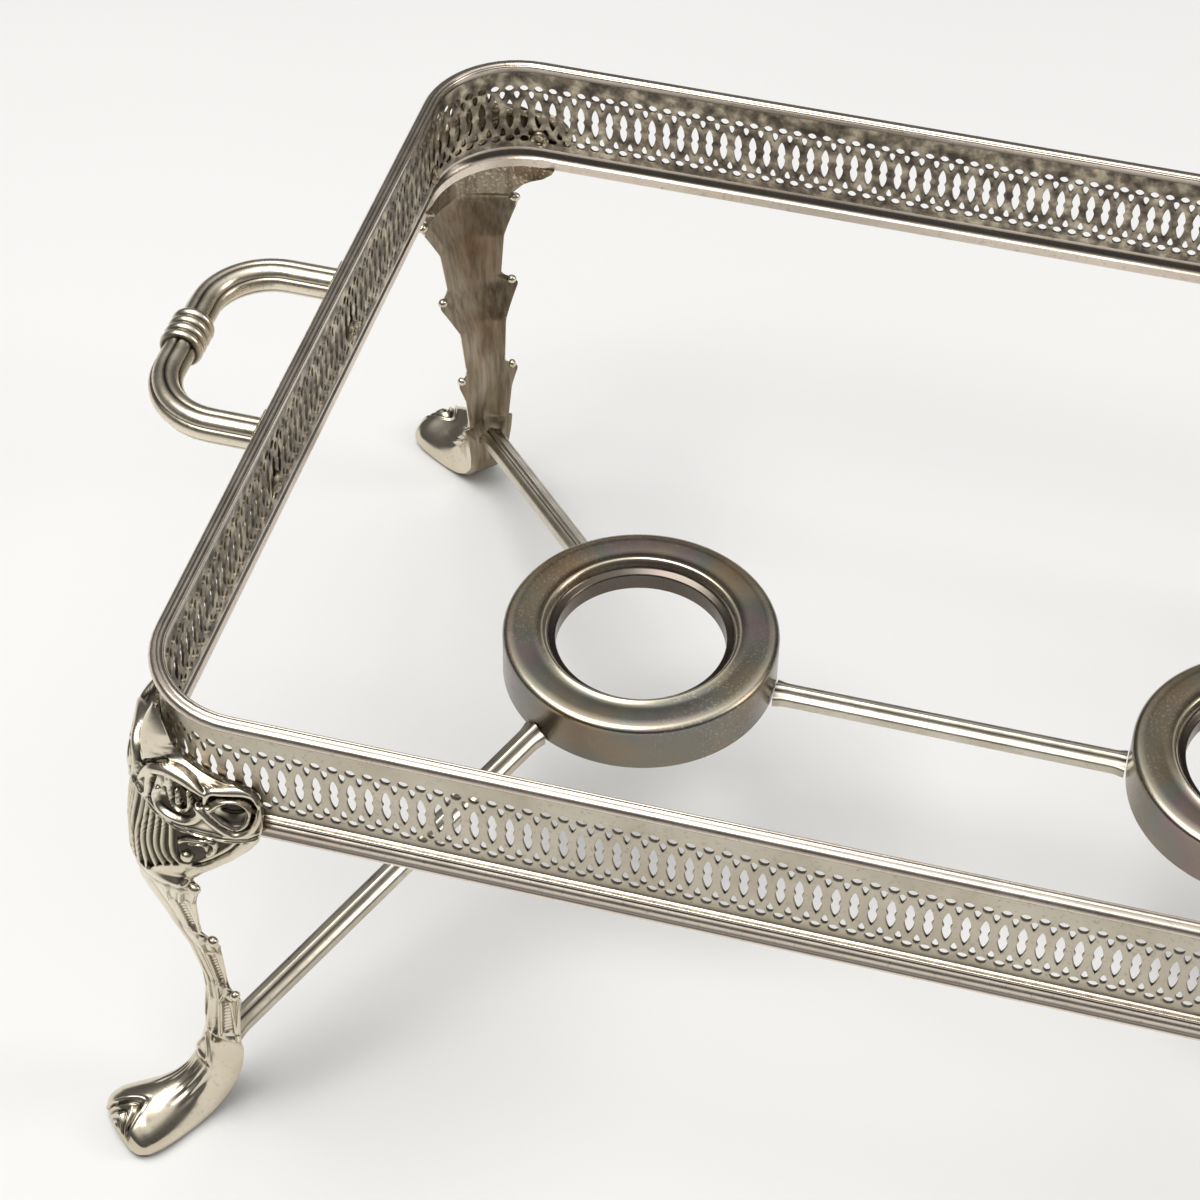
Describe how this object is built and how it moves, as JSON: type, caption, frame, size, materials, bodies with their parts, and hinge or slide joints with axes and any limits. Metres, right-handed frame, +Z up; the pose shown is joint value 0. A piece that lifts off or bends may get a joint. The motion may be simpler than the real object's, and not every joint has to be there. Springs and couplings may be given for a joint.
{
  "type": "chafing dish stand",
  "caption": "Silver-plated chafing dish stand with a pierced gallery, cast paw-foot legs, fixed end handles and burner rings on stretchers.",
  "frame": {"origin": "on the floor, under the middle of the stand", "axes": "+X along the stand's long side, through both handles; +Y towards the back long side; +Z up"},
  "size_m": [0.4096, 0.2836, 0.1515],
  "materials": {
    "bright_silver": "worn polish",
    "dull_silver": "semi-matte, tarnished",
    "tarnished_silver": "heat tinted, worn"
  },
  "bodies": {
    "root": {"bottom_rail_back": "bright_silver", "bottom_rail_corner_back_left": "bright_silver", "bottom_rail_corner_back_right": "bright_silver", "bottom_rail_corner_front_left": "bright_silver", "bottom_rail_corner_front_right": "bright_silver", "bottom_rail_front": "bright_silver", "bottom_rail_left": "bright_silver", "bottom_rail_right": "bright_silver", "burner_ring_left": "tarnished_silver", "burner_ring_right": "tarnished_silver", "gallery_back": "dull_silver", "gallery_corner_back_left": "dull_silver", "gallery_corner_back_right": "dull_silver", "gallery_corner_front_left": "dull_silver", "gallery_corner_front_right": "dull_silver", "gallery_front": "dull_silver", "gallery_left": "dull_silver", "gallery_right": "dull_silver", "handle_left": "bright_silver", "handle_right": "bright_silver", "handle_rivet_left_1": "dull_silver", "handle_rivet_left_2": "dull_silver", "handle_rivet_right_1": "dull_silver", "handle_rivet_right_2": "dull_silver", "leg_back_left": "bright_silver", "leg_back_right": "bright_silver", "leg_front_left": "bright_silver", "leg_front_right": "bright_silver", "leg_rivet_back_left_1": "dull_silver", "leg_rivet_back_left_2": "dull_silver", "leg_rivet_back_right_1": "dull_silver", "leg_rivet_back_right_2": "dull_silver", "leg_rivet_front_left_1": "dull_silver", "leg_rivet_front_left_2": "dull_silver", "leg_rivet_front_right_1": "dull_silver", "leg_rivet_front_right_2": "dull_silver", "stretcher_back_left": "bright_silver", "stretcher_back_right": "bright_silver", "stretcher_front_left": "bright_silver", "stretcher_front_right": "bright_silver", "stretcher_middle": "bright_silver", "top_rail_back": "bright_silver", "top_rail_corner_back_left": "bright_silver", "top_rail_corner_back_right": "bright_silver", "top_rail_corner_front_left": "bright_silver", "top_rail_corner_front_right": "bright_silver", "top_rail_front": "bright_silver", "top_rail_left": "bright_silver", "top_rail_right": "bright_silver"}
  },
  "joints": []
}
